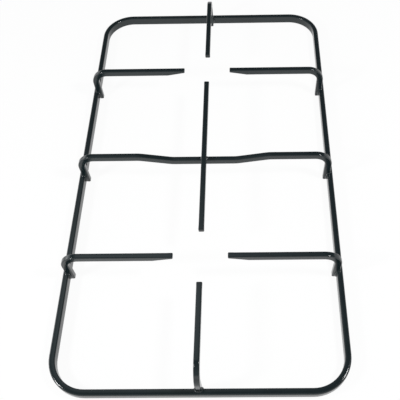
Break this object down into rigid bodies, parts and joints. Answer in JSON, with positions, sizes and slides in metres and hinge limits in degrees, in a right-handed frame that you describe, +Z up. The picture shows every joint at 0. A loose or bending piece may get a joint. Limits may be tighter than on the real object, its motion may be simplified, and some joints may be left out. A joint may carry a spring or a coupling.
{
  "type": "hob pan support",
  "caption": "Welded bar grid with a rounded rectangular frame and raised fingers that holds pans over a pair of gas burners, one behind the other, on bent-down legs.",
  "frame": {"origin": "on the plane of the feet, which is the hob plate, under the middle of the frame", "axes": "+Z up, from the feet to the pan; +Y to the rear of the hob, along the frame's long side; +X to the right"},
  "size_m": [0.2514, 0.4488, 0.0405],
  "materials": {
    "black_enamel": "gloss vitreous enamel on steel"
  },
  "bodies": {
    "root": {"outer_frame": "black_enamel", "rear_left_finger": "black_enamel", "rear_right_finger": "black_enamel", "front_left_finger": "black_enamel", "front_right_finger": "black_enamel", "cross_bar": "black_enamel", "centre_finger": "black_enamel", "rear_finger": "black_enamel", "front_finger": "black_enamel"}
  },
  "joints": []
}
